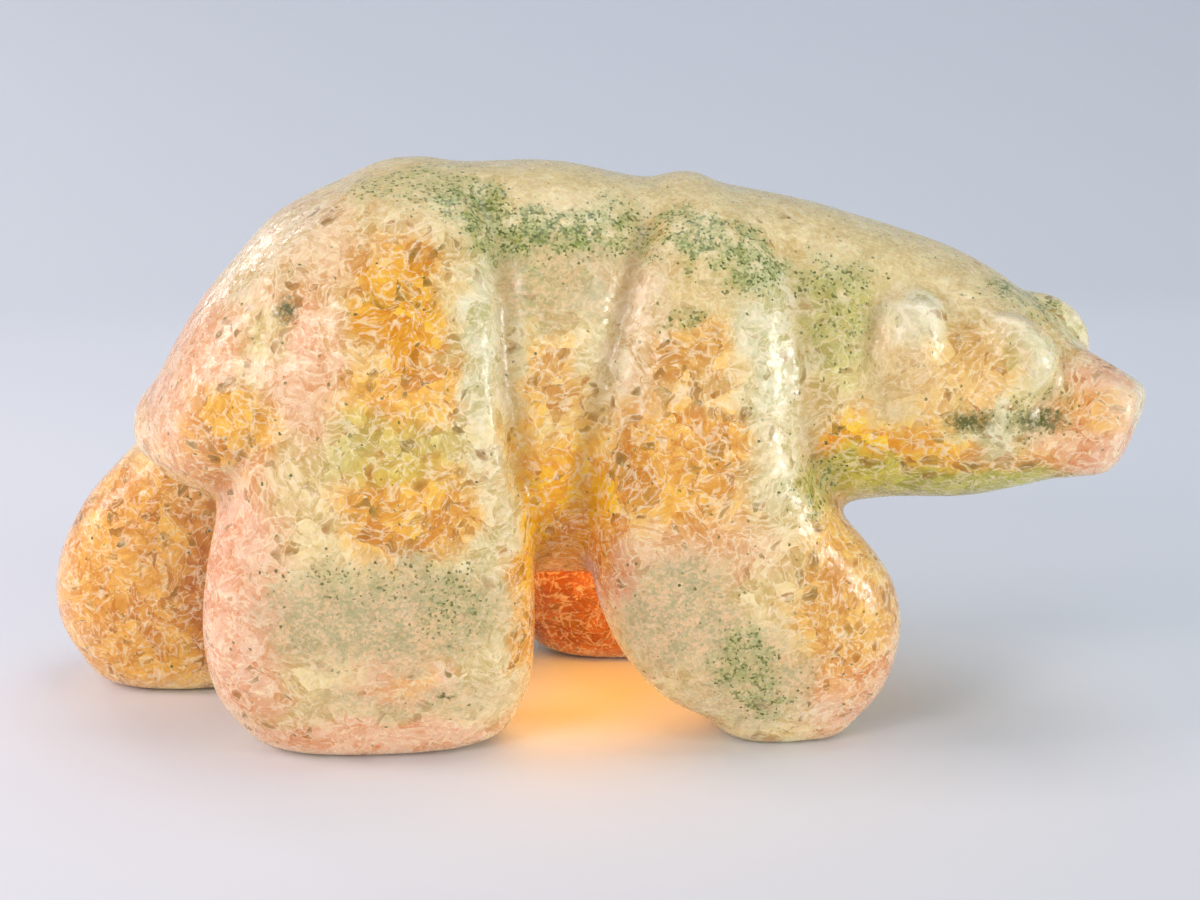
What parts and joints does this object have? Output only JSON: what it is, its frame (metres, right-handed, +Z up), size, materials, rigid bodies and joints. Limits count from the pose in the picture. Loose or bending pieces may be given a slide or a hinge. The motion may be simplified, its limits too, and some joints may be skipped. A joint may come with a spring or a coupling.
{
  "type": "stone bear sculpture",
  "caption": "Walking bear carved in one piece from mottled stone, its head low and turned to its right, standing on flat soles as a shelf ornament.",
  "frame": {"origin": "on the ground, under the middle of the carving's bounding box", "axes": "+X along the trunk from rump to head, +Y to the bear's left, +Z up"},
  "size_m": [0.305, 0.1166, 0.1588],
  "materials": {
    "mottled_stone": "polished coarse crystalline stone, peach, honey and amber with pale green mottling"
  },
  "bodies": {
    "root": {"bear": "mottled_stone"}
  },
  "joints": []
}
